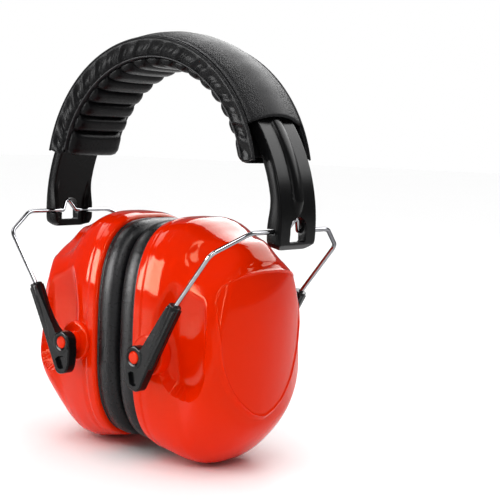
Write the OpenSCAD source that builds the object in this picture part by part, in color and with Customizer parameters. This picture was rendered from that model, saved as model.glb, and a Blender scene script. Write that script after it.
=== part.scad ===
// Folding hearing protection earmuffs.
// +X is towards the right cup, -Y is the front, +Z is up.
// The origin lies on the surface that the cups stand on, midway between them.

/* [Headband] */
// Radius of the band's outer face along its two edges
band_r = 67.2; // [66:0.1:68]
// Width of the band, front to rear
band_w = 40.8; // [40:0.2:44]
// Height of the band's centre of curvature above the table
band_z = 128; // [127:0.5:129]
// How far the middle of the band stands above its edges
band_crown = 4.4; // [4.2:0.1:5]
// Thickness of the leatherette cover
cover_t = 1.2; // [1:0.1:1.3]
// Inner radius of the plastic carrier, where the head pad is glued on
core_r = 58.2; // [57.8:0.1:58.4]
// Width of the ribbed head pad
pad_w = 34; // [30:1:36]
// Radius of the pad's rib crests
pad_crest_r = 54.8; // [53.5:0.1:55.5]
// Depth of the grooves between the ribs
pad_groove = 2; // [1:0.1:2.6]

/* [Arms] */
// Radius of the arc that the arms slide along, at their outer face
arm_r = 76.2; // [76:0.1:76.4]
// Height of that arc's centre
arm_z = 112.5; // [112:0.1:113]
// Thickness of an arm's blade
arm_t = 3.4; // [3:0.1:3.6]
// Width of an arm
arm_w = 25; // [24:0.5:25.5]
// Height of the rib along an arm's outer face
rib_h = 1.6; // [1:0.1:1.7]
// Angle that an arm slides through, from fully out to fully in
arm_travel = 16; // [10:1:16]

/* [Yoke wires] */
// Diameter of the wire
wire_d = 2; // [1.8:0.1:2.2]
// Distance of the wire's axle from the middle of the object
axle_x = 72; // [71.8:0.1:72.4]
// Height of the wire's axle
axle_z = 110.5; // [110:0.1:111]

/* [Cups] */
// Half the gap between the two cup rims
rim_x = 12.1; // [12:0.1:12.5]
// Height of the cushion rim's centre
rim_z = 58.5; // [58:0.1:59]
// Half the width of the cushion rim
rim_half_w = 36.6; // [36:0.1:37]
// Half the height of the cushion rim
rim_half_h = 53.5; // [53:0.1:54]
// Wall thickness of a cup
cup_wall = 2.6; // [2:0.1:3]
// Distance of the pivot pins from the middle of the object
pin_x = 23.9; // [23.5:0.1:24.5]
// Height of the pivot pins
pin_z = 52.6; // [52:0.1:53]
// Diameter of the pivot pins
pin_d = 5.7; // [5.2:0.1:6]

/* [Fits] */
// Radial clearance of a pin or a wire that turns in its bore
run_clear = 0.05; // [0.02:0.01:0.1]
// Clearance around an arm in its channel
slide_clear = 0.3; // [0.2:0.05:0.4]

/* [Hidden] */
$fn = 64;

black = [0.07, 0.07, 0.075];
pad_black = [0.1, 0.1, 0.105];
cup_red = [0.9, 0.12, 0.02];
foam_grey = [0.3, 0.3, 0.32];

// Headband: angles are measured from +X towards +Z about the band's centre.
core_end = 13;
flap_end = 10.5;
skin_end = 25;
pad_end = 10.5;
pad_lobe = 24;
pad_ribs = 15;
core_half_w = band_w / 2 - cover_t;

// Arms: angles are measured about the centre of the arms' arc.
arm_in_r = arm_r - arm_t;
arm_tip = 46;
tab_angle = 3;
tab_extra = 1.5;
rib_from = 8;
rib_half_w = 3.8;
head_in_x = 70;
head_low_z = 102;
head_high_z = 116;
head_taper = 6.5;
window_half_w = 5.3;
window_low_z = 105.7;
window_high_z = 117.1;
snap_slot = 1.7;

// Yoke wire, one side: the points that it runs through, rear half mirrored.
wire_r = wire_d / 2;
yoke_y = 44.5;
// The wire is a hair thicker where it is bent.
bend_extra = 0.03;
yoke_path = [
    [axle_x, 0.9, axle_z + 5.1],
    [axle_x, 4.1, axle_z],
    [axle_x, 27.3, axle_z],
    [64.5, yoke_y, 101.6],
    [45.4, yoke_y, 77.3],
    [42.4, yoke_y, 71.6],
];

// Brackets, seen from the front on the right cup.
bracket_in_y = 41.6;
bracket_t = 5.8;
eye_r = 5.5;
bracket_tail = [[47.6, 75.3], [27.4, 38.4], [25.4, 37.3], [21.4, 38.3], [19, 41.5]];
bracket_arm = [[29.4, 57.3], [33.8, 61.6], [37.5, 66.8], [43.2, 78.6]];
bracket_hollow = [[22.6, 45.6], [27, 44.6], [24.4, 40.4], [21.6, 41.8]];

// Cup shell: each row is x, half width, lowest z, highest z, and how square it is.
cup_rows = [
    [12.1, 36.6, 5, 112, 3], [14, 37, 4.4, 112.6, 3], [20, 37, 2.6, 113.8, 3],
    [25, 36, 0.9, 114.2, 2.9], [30, 35, -0.5, 113.8, 2.9], [35, 34.2, -0.9, 112.4, 2.8],
    [40, 33.4, 0.2, 110, 2.8], [45, 32.6, 2.4, 107, 2.7], [50, 31.6, 4.8, 103, 2.6],
    [54, 30.2, 8, 99, 2.5], [58, 27.2, 12.6, 95.8, 2.4], [61, 23, 18, 94, 2.3],
    [63, 18, 25, 90, 2.2], [64.2, 12, 34, 84, 2],
];
liner_from_x = 34;
liner_gap = 0.6;
boss_r = 8.6;
boss_y = 38.8;
neck_r = 4.6;
neck_y = 41.4;
plate_t = 2;
plate_hole = 17;

// Ear cushion: inset from the rim's outline, and distance from the middle plane.
cushion_rim = 0.4;
cushion_back = rim_x - 0.05;
cushion_w = 17;
cushion_face = 0.5;
cushion_skin = 1;

// ---------------------------------------------------------------- helpers

// Superellipse point: half sizes a and b, squareness n, at angle t.
function oval(a, b, n, t) = [
    a * sign(cos(t)) * pow(abs(cos(t)), 2 / n),
    b * sign(sin(t)) * pow(abs(sin(t)), 2 / n)
];

// One ring of points at distance x, from z = low to z = high.
function oval_ring(x, half_w, low, high, n, count) = [
    for (i = [0 : count - 1])
        let (p = oval(half_w, (high - low) / 2, n, 360 * (i + 0.5) / count))
        [x, p[0], (high + low) / 2 + p[1]]
];

// Band between ring j and the next one of a stack of rings, "count" points each.
function band_faces(j, k, count) = [
    for (i = [0 : count - 1])
        let (n = (i + 1) % count)
        each [[j * count + i, j * count + n, k * count + n], [j * count + i, k * count + n, k * count + i]]
];

// Closed skin over a stack of rings, with a fan over its first and last ring.
module oval_loft(rings, count) {
    last = len(rings) - 1;
    flat_points = [for (ring = rings) each ring];
    tips = [rings[0][0][0], rings[last][0][0]];
    mid = (rings[0][0][2] + rings[0][count / 2][2]) / 2;
    mid_last = (rings[last][0][2] + rings[last][count / 2][2]) / 2;
    first_tip = len(flat_points);
    polyhedron(
        points = concat(flat_points, [[tips[0], 0, mid], [tips[1], 0, mid_last]]),
        faces = concat(
            [for (j = [0 : last - 1]) each band_faces(j, j + 1, count)],
            [for (i = [0 : count - 1]) [(i + 1) % count, i, first_tip]],
            [for (i = [0 : count - 1])
                [last * count + i, last * count + (i + 1) % count, first_tip + 1]]
        )
    );
}

// Ring swept round the cushion rim: section is a loop of [inset, x].
module rim_sweep(section, count) {
    rings = [for (p = section)
        oval_ring(p[1], rim_half_w - p[0], rim_z - rim_half_h + p[0], rim_z + rim_half_h - p[0], 3, count)];
    polyhedron(
        points = [for (ring = rings) each ring],
        faces = [for (j = [0 : len(section) - 1]) each band_faces(j, (j + 1) % len(section), count)]
    );
}

// Turns a profile of [radius, y] about the Y axis through height z, from angle a0 to a1.
module turn_y(z, a0, a1) {
    translate([0, 0, z])
        rotate([90, 0, 0])
            rotate([0, 0, a0])
                rotate_extrude(angle = a1 - a0, $fn = 180)
                    children();
}

// Plate of thickness t drawn in the XZ plane, from y = y0 towards +Y.
module plate_y(y0, t) {
    translate([0, y0 + t, 0])
        rotate([90, 0, 0])
            linear_extrude(t)
                children();
}

// Straight round bar from p to q.
module bar(p, q, r) {
    d = q - p;
    translate(p)
        rotate([0, acos(d[2] / norm(d)), atan2(d[1], d[0])])
            cylinder(h = norm(d), r = r);
}

module both_sides() {
    children();
    mirror([1, 0, 0]) children();
}

// ---------------------------------------------------------------- headband

// Outer face of the band across its width, lowered by "inset".
function band_face(y, inset) =
    band_r + band_crown * (1 - pow(abs(y) / (band_w / 2), 1.9)) - inset;

function band_arc(half_w, inset, steps) = [
    for (i = [0 : steps])
        let (y = half_w - 2 * half_w * i / steps)
        [band_face(y, inset), y]
];

module core_profile() {
    polygon(concat([[core_r, -core_half_w], [core_r, core_half_w]], band_arc(core_half_w, cover_t, 24)));
}

module cover_profile() {
    outer = band_arc(band_w / 2, 0, 24);
    inner = band_arc(core_half_w, cover_t, 24);
    polygon(concat(
        [[core_r, band_w / 2]], outer, [[core_r, -band_w / 2], [core_r, -core_half_w]],
        [for (i = [24 : -1 : 0]) inner[i]], [[core_r, core_half_w]]
    ));
}

module arm_channel() {
    half_w = arm_w / 2 + slide_clear;
    floor_r = arm_in_r - slide_clear;
    roof_r = arm_r + slide_clear;
    end_a = arm_tip + arm_travel + 0.4;
    // Blade.
    turn_y(arm_z, -6, end_a)
        translate([floor_r, -half_w]) square([roof_r - floor_r, 2 * half_w]);
    // Rib.
    turn_y(arm_z, -5, end_a - 0.2)
        translate([floor_r + 1, -rib_half_w - slide_clear])
            square([arm_r + rib_h + slide_clear - floor_r - 1, 2 * (rib_half_w + slide_clear)]);
    // Room for the end tab, down to the stop that it rests on.
    turn_y(arm_z, arm_tip - tab_angle - 0.3, end_a - 0.1)
        translate([floor_r + 0.1, -half_w - tab_extra])
            square([roof_r - floor_r - 0.2, 2 * (half_w + tab_extra)]);
    // Open mouth outside the arm, below the cut edge of the cover.
    turn_y(arm_z, -7, 36.2)
        translate([floor_r + 0.2, -arm_w / 2 - 2.5]) square([30, arm_w + 5]);
    // Way for the thicker arm head when the arm is pushed in.
    turn_y(arm_z, -8, 23.5)
        translate([head_in_x - 0.8, -arm_w / 2 - 2.7]) square([31, arm_w + 5.4]);
}

module band_core() {
    color(black)
        difference() {
            turn_y(band_z, core_end, 180 - core_end) core_profile();
            both_sides() arm_channel();
        }
}

module band_cover() {
    color(pad_black) {
        turn_y(band_z, skin_end, 180 - skin_end) cover_profile();
        both_sides()
            for (side = [-1, 1])
                turn_y(band_z, flap_end, skin_end + 1)
                    translate([core_r + 0.1, side * (band_w - cover_t) / 2 - cover_t / 2 + 0.1])
                        square([band_r - core_r - 0.3, cover_t - 0.2]);
    }
}

// Inner outline of the pad: evenly spaced ribs with a longer lobe at each end.
function pad_inner_r(a) =
    let (side = min(a, 180 - a))
    side < pad_lobe
        ? pad_crest_r - 0.6 + 1.6 * pow(1 - (side - pad_end) / (pad_lobe - pad_end), 4)
            + pad_groove * pow(max(0, (side - pad_lobe + 4) / 4), 2)
        : pad_crest_r + pad_groove
            * (1 + cos(360 * (a - pad_lobe) * pad_ribs / (180 - 2 * pad_lobe))) / 2;

module head_pad() {
    steps = 156;
    inner = [for (i = [0 : steps])
        let (a = pad_end + (180 - 2 * pad_end) * i / steps)
        pad_inner_r(a) * [cos(a), sin(a)]];
    outer = [for (i = [60 : -1 : 0])
        let (a = core_end + (180 - 2 * core_end) * i / 60)
        core_r * [cos(a), sin(a)]];
    end_r = core_r + 5;
    cap_a = core_end - 0.2;
    color(pad_black)
        translate([0, 0, band_z])
            plate_y(-pad_w / 2, pad_w)
                polygon(concat(
                    inner,
                    [end_r * [-cos(pad_end), sin(pad_end)], end_r * [-cos(cap_a), sin(cap_a)]],
                    [core_r * [-cos(cap_a), sin(cap_a)]],
                    outer,
                    [core_r * [cos(cap_a), sin(cap_a)], end_r * [cos(cap_a), sin(cap_a)]],
                    [end_r * [cos(pad_end), sin(pad_end)]]
                ));
}

// ---------------------------------------------------------------- arms

// Blank of an arm, as thick as its head, chamfered along its outer edges.
module arm_profile() {
    half = arm_w / 2;
    chamfer = 0.6;
    polygon([
        [head_in_x - 5, -half], [arm_r - chamfer, -half], [arm_r, -half + chamfer],
        [arm_r, half - chamfer], [arm_r - chamfer, half], [head_in_x - 5, half]
    ]);
}

module rib_profile() {
    polygon([for (i = [0 : 12])
        let (a = 180 * i / 12 - 90)
        [arm_r - 0.4 + (rib_h + 0.4) * cos(a), rib_half_w * sin(a)]]);
}

// Space inside the arm: under the blade, and down the flat inner face of the head.
module inside_cut() {
    turn_y(arm_z, head_taper, arm_tip + 2)
        translate([head_in_x - 8, -arm_w])
            square([arm_in_r - head_in_x + 8, 2 * arm_w]);
    plate_y(-arm_w, 2 * arm_w)
        polygon([
            [head_in_x - 12, head_low_z - 20], [head_in_x, head_low_z - 20],
            [head_in_x, head_high_z - 1],
            [arm_in_r * cos(head_taper + 0.5), arm_z + arm_in_r * sin(head_taper + 0.5)],
            [head_in_x - 12, head_high_z + 12]
        ]);
}

module window_cut() {
    arch_z = window_high_z - window_half_w;
    translate([head_in_x - 5, 0, 0]) {
        translate([0, -window_half_w, window_low_z])
            cube([20, 2 * window_half_w, arch_z - window_low_z]);
        translate([0, 0, arch_z - 0.3]) rotate([0, 90, 0]) cylinder(h = 20, r = window_half_w + 0.3);
    }
}

module rounded_corner_cut(r) {
    for (side = [-1, 1])
        difference() {
            translate([head_in_x - 2, side * (arm_w / 2 - r / 2 + 0.5) - r / 2 - 0.5, head_low_z - 1])
                cube([12, r + 1, r + 1]);
            translate([head_in_x - 3, side * (arm_w / 2 - r + 0.15), head_low_z + r - 0.15])
                rotate([0, 90, 0]) cylinder(h = 14, r = r);
        }
}

module arm() {
    color(black)
        difference() {
            union() {
                turn_y(arm_z, -20, arm_tip) arm_profile();
                turn_y(arm_z, rib_from, arm_tip - 0.5) rib_profile();
                turn_y(arm_z, arm_tip - tab_angle, arm_tip - 0.2)
                    translate([arm_in_r + 0.3, -arm_w / 2 - tab_extra])
                        square([arm_t - 0.6, arm_w + 2 * tab_extra]);
            }
            inside_cut();
            // Flat bottom, with its outer edge cut back.
            plate_y(-arm_w, 2 * arm_w)
                polygon([
                    [head_in_x - 10, head_low_z - 30], [arm_r + 10, head_low_z - 30],
                    [arm_r + 10, head_low_z + 9.4], [74, head_low_z], [head_in_x - 10, head_low_z]
                ]);
            window_cut();
            rounded_corner_cut(5);
            // Bore that the wire turns in, with a snap slot to the inner face.
            translate([axle_x, arm_w, axle_z])
                rotate([90, 0, 0])
                    cylinder(h = 2 * arm_w, r = wire_r + run_clear);
            translate([axle_x - 6, -arm_w, axle_z - snap_slot / 2])
                cube([6, 2 * arm_w, snap_slot]);
        }
}

module right_arm() { arm(); }
module left_arm() { mirror([1, 0, 0]) arm(); }

// ---------------------------------------------------------------- yoke wires

module yoke_half() {
    last = len(yoke_path) - 1;
    for (i = [0 : last - 1])
        bar(yoke_path[i], yoke_path[i + 1], wire_r);
    for (i = [0 : last - 1])
        translate(yoke_path[i]) sphere(r = wire_r + bend_extra);
}

module yoke_wire() {
    color("silver") {
        yoke_half();
        mirror([0, 1, 0]) yoke_half();
        bar(yoke_path[0] - [0, 2 * yoke_path[0][1], 0], yoke_path[0], wire_r);
    }
}

module right_yoke_wire() { yoke_wire(); }
module left_yoke_wire() { mirror([1, 0, 0]) yoke_wire(); }

// ---------------------------------------------------------------- brackets

module bracket() {
    eye_arc = [for (a = [190 : -10 : 60]) [pin_x + eye_r * cos(a), pin_z + eye_r * sin(a)]];
    color(black)
        difference() {
            plate_y(bracket_in_y, bracket_t)
                polygon(concat(bracket_tail, eye_arc, bracket_arm));
            // Pivot eye.
            translate([pin_x, 60, pin_z])
                rotate([90, 0, 0])
                    cylinder(h = 30, r = pin_d / 2 + run_clear);
            // Socket for the end of the wire.
            bar(yoke_path[5], yoke_path[4] + (yoke_path[4] - yoke_path[5]) / 2, wire_r + 0.02);
            // Hollow below the eye.
            plate_y(bracket_in_y + bracket_t - 3, 6) polygon(bracket_hollow);
        }
}

module right_rear_bracket() { bracket(); }
module right_front_bracket() { mirror([0, 1, 0]) bracket(); }
module left_rear_bracket() { mirror([1, 0, 0]) bracket(); }
module left_front_bracket() { mirror([1, 0, 0]) mirror([0, 1, 0]) bracket(); }

// ---------------------------------------------------------------- cups

cup_points = 48;

module cup_wall() {
    last = len(cup_rows) - 1;
    outer = [for (i = [last : -1 : 0])
        let (row = cup_rows[i])
        oval_ring(row[0], row[1], row[2], row[3], row[4], cup_points)];
    inner = [for (i = [0 : last])
        let (row = cup_rows[i])
        oval_ring(
            i == 0 ? row[0] : row[0] - cup_wall * i / last,
            row[1] - cup_wall, max(row[2], 0) + cup_wall, row[3] - cup_wall, row[4], cup_points
        )];
    oval_loft(concat(outer, inner), cup_points);
}

module cup() {
    color(cup_red) {
        difference() {
            cup_wall();
            // Small flat that the cup stands on.
            translate([rim_x, -rim_half_w, -10]) cube([50, 2 * rim_half_w, 10]);
        }
        for (side = [0, 1])
            mirror([0, side, 0])
                translate([pin_x, 0, pin_z])
                    rotate([-90, 0, 0]) {
                        // Collar on the side of the cup.
                        translate([0, 0, rim_half_w - 2]) cylinder(h = boss_y - rim_half_w + 2, r = boss_r);
                        // Neck that spaces the bracket off the cup.
                        translate([0, 0, boss_y - 1]) cylinder(h = neck_y - boss_y + 1, r = neck_r);
                        // Pivot pin.
                        translate([0, 0, neck_y - 1])
                            cylinder(h = bracket_in_y + bracket_t + 0.2 - neck_y + 1, r = pin_d / 2);
                    }
    }
}

module cushion_plate() {
    color(black)
        rim_sweep([
            [cup_wall + 0.1, rim_x], [cup_wall + 0.1, rim_x + plate_t],
            [plate_hole, rim_x + plate_t], [plate_hole, rim_x]
        ], cup_points);
}

// Crowned section of the cushion, shrunk by "inset" all round.
function cushion_section(inset) = [
    for (i = [0 : 10])
        let (a = 180 * i / 10, half = cushion_w / 2 - inset, rise = cushion_back - 5 - cushion_face - inset)
        [cushion_rim + cushion_w / 2 - half * cos(a), cushion_back - 5 - rise * pow(sin(a), 0.7)]
];

module ear_cushion() {
    outer = cushion_section(0);
    inner = cushion_section(cushion_skin);
    color(pad_black)
        rim_sweep(concat(
            [[cushion_rim, cushion_back]], outer, [[cushion_rim + cushion_w, cushion_back]],
            [[cushion_rim + cushion_w - cushion_skin, cushion_back]],
            [for (i = [10 : -1 : 0]) inner[i]],
            [[cushion_rim + cushion_skin, cushion_back]]
        ), cup_points);
}

module cushion_foam() {
    inner = cushion_section(cushion_skin + 0.1);
    edge = cushion_skin + 0.1;
    color(foam_grey)
        rim_sweep(concat(
            [[cushion_rim + edge, cushion_back]], inner, [[cushion_rim + cushion_w - edge, cushion_back]]
        ), cup_points);
}

module foam_liner() {
    rows = [for (row = cup_rows) if (row[0] > liner_from_x && row[0] < 62) row];
    gap = cup_wall + liner_gap;
    rings = [for (row = rows)
        oval_ring(row[0] - gap, row[1] - gap, max(0, row[2]) + gap, row[3] - gap, row[4], cup_points)];
    color(foam_grey) oval_loft([for (i = [len(rings) - 1 : -1 : 0]) rings[i]], cup_points);
}

module right_cup_shell() { cup(); }
module left_cup_shell() { mirror([1, 0, 0]) cup(); }
module right_cushion_plate() { cushion_plate(); }
module left_cushion_plate() { mirror([1, 0, 0]) cushion_plate(); }
module right_ear_cushion() { ear_cushion(); }
module left_ear_cushion() { mirror([1, 0, 0]) ear_cushion(); }
module right_cushion_foam() { cushion_foam(); }
module left_cushion_foam() { mirror([1, 0, 0]) cushion_foam(); }
module right_foam_liner() { foam_liner(); }
module left_foam_liner() { mirror([1, 0, 0]) foam_liner(); }

band_core();
band_cover();
head_pad();
left_arm();
right_arm();
left_yoke_wire();
right_yoke_wire();
left_front_bracket();
left_rear_bracket();
right_front_bracket();
right_rear_bracket();
left_cup_shell();
right_cup_shell();
left_cushion_plate();
right_cushion_plate();
left_ear_cushion();
right_ear_cushion();
left_cushion_foam();
right_cushion_foam();
left_foam_liner();
right_foam_liner();
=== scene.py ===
"""Visual model of folding hearing protection earmuffs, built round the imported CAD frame.

Shapes are worked out in millimetres and turned into metres when a mesh is made.
+X is towards the right cup, -Y is the front, +Z is up.
"""

import math

import bmesh
import bpy
import numpy as np
from mathutils import Matrix, Vector


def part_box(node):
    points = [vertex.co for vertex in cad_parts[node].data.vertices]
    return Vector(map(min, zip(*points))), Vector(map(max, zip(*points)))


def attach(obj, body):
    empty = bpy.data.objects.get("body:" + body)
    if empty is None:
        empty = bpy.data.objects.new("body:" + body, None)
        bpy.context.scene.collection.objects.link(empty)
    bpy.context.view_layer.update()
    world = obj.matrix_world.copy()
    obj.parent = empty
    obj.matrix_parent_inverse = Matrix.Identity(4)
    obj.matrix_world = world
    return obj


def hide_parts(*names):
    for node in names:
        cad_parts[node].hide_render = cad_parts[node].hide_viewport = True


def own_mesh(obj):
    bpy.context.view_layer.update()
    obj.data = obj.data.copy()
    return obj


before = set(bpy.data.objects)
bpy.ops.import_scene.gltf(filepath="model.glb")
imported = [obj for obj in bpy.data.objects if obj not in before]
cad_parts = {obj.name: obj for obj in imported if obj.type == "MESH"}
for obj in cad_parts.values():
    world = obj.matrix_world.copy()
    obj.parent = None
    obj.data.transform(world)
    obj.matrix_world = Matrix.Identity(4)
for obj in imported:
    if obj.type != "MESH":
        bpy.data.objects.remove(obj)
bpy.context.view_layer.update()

MM = 0.001


def box_mm(node):
    """Lowest and highest corner of a CAD node, in millimetres."""
    low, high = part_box(node)
    return np.array(low) / MM, np.array(high) / MM


# -------- sizes

SIDES = ("right", "left")
COVER_HIGH = box_mm("band_cover")[1]
CUP_LOW = box_mm("right_cup_shell")[0]
PAD_HIGH = box_mm("head_pad")[1]
LINER_LOW = box_mm("right_foam_liner")[0]
BRACKET_LOW, BRACKET_HIGH = box_mm("right_rear_bracket")

# Headband: arcs about the point (0, BAND_Z); angles in degrees from +X towards +Z.
BAND_CROWN = 4.4  # rise of the cover's middle above its edges
BAND_Z = 128.0
BAND_HALF_W = COVER_HIGH[1]
BAND_R = COVER_HIGH[2] - BAND_Z - BAND_CROWN
CORE_R = 58.2  # where the head pad is glued on
SKIN_END = 25.0  # angle of the cover's cut end, at its corners
FLAP_END = 11.4  # angle where the side walls end
PAD_END = 11.4  # angle where the head pad ends
PAD_LOBE = 24.3  # angle between the pad's end lobe and its first rib
PAD_RIBS = 15
PAD_HALF_W = PAD_HIGH[1]
RIB_PITCH = (180 - 2 * PAD_LOBE) / PAD_RIBS

# Arms: arcs about the point (0, ARM_Z).
ARM_Z = 112.5
ARM_R = 76.2
ARM_T = 3.4  # thickness where the arm slides in the band
ARM_SWELL = 2.0  # extra thickness of the free part
ARM_TIP = 46.0
ARM_HALF_W = 12.9
HEAD_IN_X = 68.5  # inner face of the head
HEAD_RECESS = 3.2
HEAD_LOW_Z = 102.0

# Yoke wires and brackets: AXLE and PIN are (x, z).
WIRE_R = 1.0
AXLE = np.array([72.0, 110.5])
PIN = np.array([23.9, 52.6])
PIN_R = 2.85
BRACKET_IN_Y = BRACKET_LOW[1]
BRACKET_OUT_Y = BRACKET_HIGH[1]

# Cups.
RIM_X = CUP_LOW[0]
RIM_Z = 58.5
RIM_HALF_W = 36.6
RIM_HALF_H = 53.5
CUP_WALL = 2.6
LINER_GAP = 3.0  # between the cup's wall and its foam


# -------- small maths

def smooth_step(low, high, value):
    t = np.clip((value - low) / (high - low), 0, 1)
    return t * t * (3 - 2 * t)


def smooth_curve(knots, values, at):
    """Monotone cubic curve through (knots, values)."""
    knots, values = np.asarray(knots, float), np.asarray(values, float)
    step = np.diff(knots)
    slope = np.diff(values) / step
    tangent = np.zeros(len(knots))
    tangent[0], tangent[-1] = slope[0], slope[-1]
    for i in range(1, len(knots) - 1):
        if slope[i - 1] * slope[i] > 0:
            a, b = 2 * step[i] + step[i - 1], step[i] + 2 * step[i - 1]
            tangent[i] = (a + b) / (a / slope[i - 1] + b / slope[i])
    at = np.clip(at, knots[0], knots[-1])
    i = np.clip(np.searchsorted(knots, at) - 1, 0, len(step) - 1)
    t = (at - knots[i]) / step[i]
    return (
        values[i] * (1 + 2 * t) * (1 - t) ** 2
        + tangent[i] * step[i] * t * (1 - t) ** 2
        + values[i + 1] * t * t * (3 - 2 * t)
        + tangent[i + 1] * step[i] * t * t * (t - 1)
    )


def full_turn(count):
    """Angles spread evenly round a circle."""
    return np.linspace(0, 2 * math.pi, count, endpoint=False)


def round_both(a, b, radius):
    """Distance to the overlap of two solids, with the edge between them rounded."""
    outside = np.hypot(np.maximum(a + radius, 0), np.maximum(b + radius, 0))
    return outside + np.minimum(np.maximum(a + radius, b + radius), 0) - radius


def band_point(angle, radius, y):
    """Point of the headband at an angle in degrees, a radius and a y."""
    a = np.radians(angle)
    x, z = radius * np.cos(a), BAND_Z + radius * np.sin(a)
    return np.stack(np.broadcast_arrays(x, y, z), axis=-1)


def ripple(values, seed, waves=5, low=0.6, high=2.4):
    """Smooth irregular wave between about -1 and 1, the same each run."""
    rng = np.random.default_rng(seed)
    total = np.zeros_like(np.asarray(values, float))
    for _ in range(waves):
        pitch, phase = rng.uniform(low, high), rng.uniform(0, 6.28)
        total = total + np.sin(values * pitch + phase)
    return total / waves


# -------- meshes

def grid_faces(rows, cols, wrap_rows=False):
    """Quads between rings of points stored one after the other."""
    faces = []
    for r in range(rows if wrap_rows else rows - 1):
        here, there = r * cols, (r + 1) % rows * cols
        for c in range(cols):
            n = (c + 1) % cols
            faces.append((here + c, here + n, there + n, there + c))
    return faces


def fan_faces(ring_start, count, tip, flip=False):
    faces = [(ring_start + (c + 1) % count, ring_start + c, tip) for c in range(count)]
    return [f[::-1] for f in faces] if flip else faces


def strip_caps(rows, cols):
    """Faces over both ends of a thin tube, from one half of its ring to the other."""
    faces = []
    for start in (0, (rows - 1) * cols):
        for i in range(cols // 2 - 1):
            faces.append((start + i, start + i + 1, start + cols - 2 - i, start + cols - 1 - i))
    return faces


def tube_shell(grid):
    """Closed shell from a grid whose rows are rings, with a fan over each end."""
    rows, cols, _ = grid.shape
    points = np.concatenate([grid.reshape(-1, 3), grid[[0, -1]].mean(axis=1)])
    faces = grid_faces(rows, cols)
    faces += fan_faces(0, cols, rows * cols)
    faces += fan_faces((rows - 1) * cols, cols, rows * cols + 1, flip=True)
    return points, faces


def ring_shell(grid):
    """Closed shell from a grid whose last ring meets its first."""
    rows, cols, _ = grid.shape
    return grid.reshape(-1, 3), grid_faces(rows, cols, wrap_rows=True)


def join_shells(*shells):
    """Several (points, faces) shells as one."""
    points, faces, start = [], [], 0
    for shell_points, shell_faces in shells:
        points.append(shell_points)
        faces += [tuple(i + start for i in f) for f in shell_faces]
        start += len(shell_points)
    return np.concatenate(points), faces


def mirror_shell(shell, axis):
    points, faces = shell
    points = points.copy()
    points[:, axis] *= -1
    return points, [f[::-1] for f in faces]


def on_side(side, shell):
    """A shell drawn for the right side, mirrored when the left side needs it."""
    return shell if side == "right" else mirror_shell(shell, 0)


def make_piece(name, shell, material, crease=None):
    """Mesh object from a shell in millimetres, shaded smooth up to the crease angle."""
    points, faces = shell
    mesh = bpy.data.meshes.new(name)
    mesh.from_pydata((np.asarray(points) * MM).tolist(), [], faces)
    mesh.materials.append(material)
    mesh.validate()
    orient(mesh)
    mesh.shade_smooth()
    if crease is not None:
        mesh.set_sharp_from_angle(angle=math.radians(crease))
    piece = bpy.data.objects.new(name, mesh)
    bpy.context.scene.collection.objects.link(piece)
    return piece


def orient(mesh):
    """Turns the faces of each closed shell outwards."""
    work = bmesh.new()
    work.from_mesh(mesh)
    bmesh.ops.recalc_face_normals(work, faces=work.faces)
    work.to_mesh(mesh)
    work.free()


def apply_modifiers(piece):
    """Replaces the piece's mesh by what its modifiers make of it."""
    graph = bpy.context.evaluated_depsgraph_get()
    piece.update_tag()
    bpy.context.view_layer.update()
    made = bpy.data.meshes.new_from_object(piece.evaluated_get(graph))
    piece.modifiers.clear()
    piece.data = made


OFF_AXIS = [0.31, 0.17, 0.93]


def sweep(path, radius, sides):
    """Round tube along a path of points that doesn't start along OFF_AXIS."""
    path = np.asarray(path, float)
    tangent = np.gradient(path, axis=0)
    tangent /= np.linalg.norm(tangent, axis=1)[:, None]
    side = np.cross(tangent[0], OFF_AXIS)
    rings = []
    for point, along in zip(path, tangent):
        side = side - along * side.dot(along)
        side /= np.linalg.norm(side)
        up = np.cross(along, side)
        turn = full_turn(sides)[:, None]
        rings.append(point + radius * (np.cos(turn) * side + np.sin(turn) * up))
    return tube_shell(np.array(rings))


def rounded_path(corners, radius, steps=10):
    """Polyline whose corners are replaced by curves that start about a radius away."""
    corners = [np.asarray(c, float) for c in corners]
    longest = 0.45
    path = [corners[0]]
    for before, corner, after in zip(corners, corners[1:], corners[2:]):
        a, b = before - corner, after - corner
        reach = min(radius, longest * np.linalg.norm(a), longest * np.linalg.norm(b))
        start = corner + a / np.linalg.norm(a) * reach
        end = corner + b / np.linalg.norm(b) * reach
        for t in np.linspace(0, 1, steps):
            path.append((1 - t) ** 2 * start + 2 * t * (1 - t) * corner + t * t * end)
    path.append(corners[-1])
    return np.array(path)


def turned_rings(profile, centre, sides):
    """Rings round a line along Y; profile is a list of (radius, y)."""
    turn = full_turn(sides)
    rings = []
    for r, y in profile:
        x, z = centre[0] + r * np.cos(turn), centre[1] + r * np.sin(turn)
        rings.append(np.stack([x, np.full(sides, y), z], -1))
    return np.array(rings)


def turned(profile, centre):
    """Closed shell of revolution."""
    return tube_shell(turned_rings(profile, centre, 64))


# -------- materials

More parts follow.
